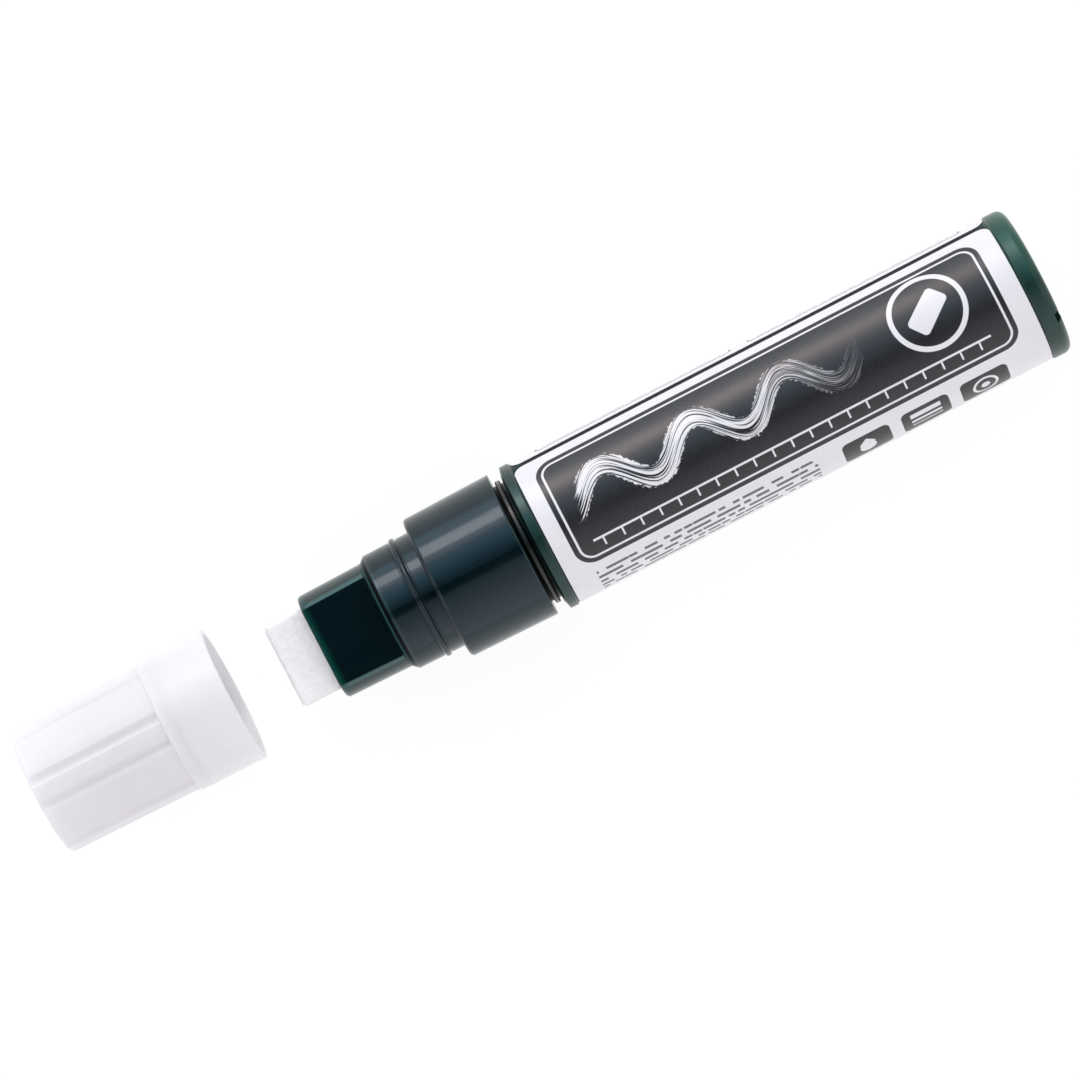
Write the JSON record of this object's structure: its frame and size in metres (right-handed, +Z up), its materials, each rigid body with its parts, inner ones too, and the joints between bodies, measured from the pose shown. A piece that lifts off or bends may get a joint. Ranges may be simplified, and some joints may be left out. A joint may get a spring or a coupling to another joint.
{
  "type": "liquid chalk marker",
  "caption": "Jumbo liquid chalk marker with a wide felt nib, a spring valve worked by the nib, loose mixing balls, a wrap label and a fluted push-on cap.",
  "frame": {"origin": "on the surface that the marker lies on, below the middle of its whole length with the cap off", "axes": "+X along the marker from the cap and nib to the closed rear end, +Z up, the nose's flats facing up and down"},
  "size_m": [0.188, 0.0266, 0.0265],
  "materials": {
    "green_plastic": "satin",
    "label_film": "satin",
    "ring_plastic": "gloss",
    "white_felt": "matte",
    "natural_plastic": "satin",
    "seal_rubber": "matte",
    "spring_steel": "satin",
    "ball_steel": "polished",
    "chalk_ink": "gloss",
    "white_plastic": "satin",
    "liner_plastic": "satin"
  },
  "bodies": {
    "marker": {"barrel": "green_plastic", "label": "label_film", "holder": "green_plastic", "neck_ring": "ring_plastic", "valve_case": "natural_plastic", "valve_seat": "seal_rubber", "valve_spring": "spring_steel", "spring_stop": "natural_plastic", "ink": "chalk_ink"},
    "nib_unit": {"nib": "white_felt", "nib_carrier": "natural_plastic", "valve_stem": "natural_plastic"},
    "ball_1": {"mixing_ball_1": "ball_steel"},
    "ball_2": {"mixing_ball_2": "ball_steel"},
    "cap": {"cap_shell": "white_plastic", "inner_cap": "liner_plastic"}
  },
  "joints": [
    {"name": "nib_press", "type": "slide", "parent": "marker", "child": "nib_unit", "axis": [1, 0, 0], "range_m": [0, 0.0025], "stiffness_N_per_m": 800, "springref_m": -0.0025, "deforming": ["valve_spring"]},
    {"name": "cap_slide", "type": "slide", "parent": "marker", "child": "cap", "axis": [1, 0, 0], "range_m": [0, 0.0382]},
    {"name": "ball_1_roll", "type": "slide", "parent": "marker", "child": "ball_1", "axis": [1, 0, 0], "range_m": [-0.0459, 0.0306]},
    {"name": "ball_2_roll", "type": "slide", "parent": "marker", "child": "ball_2", "axis": [1, 0, 0], "range_m": [-0.0459, 0.0306]}
  ]
}
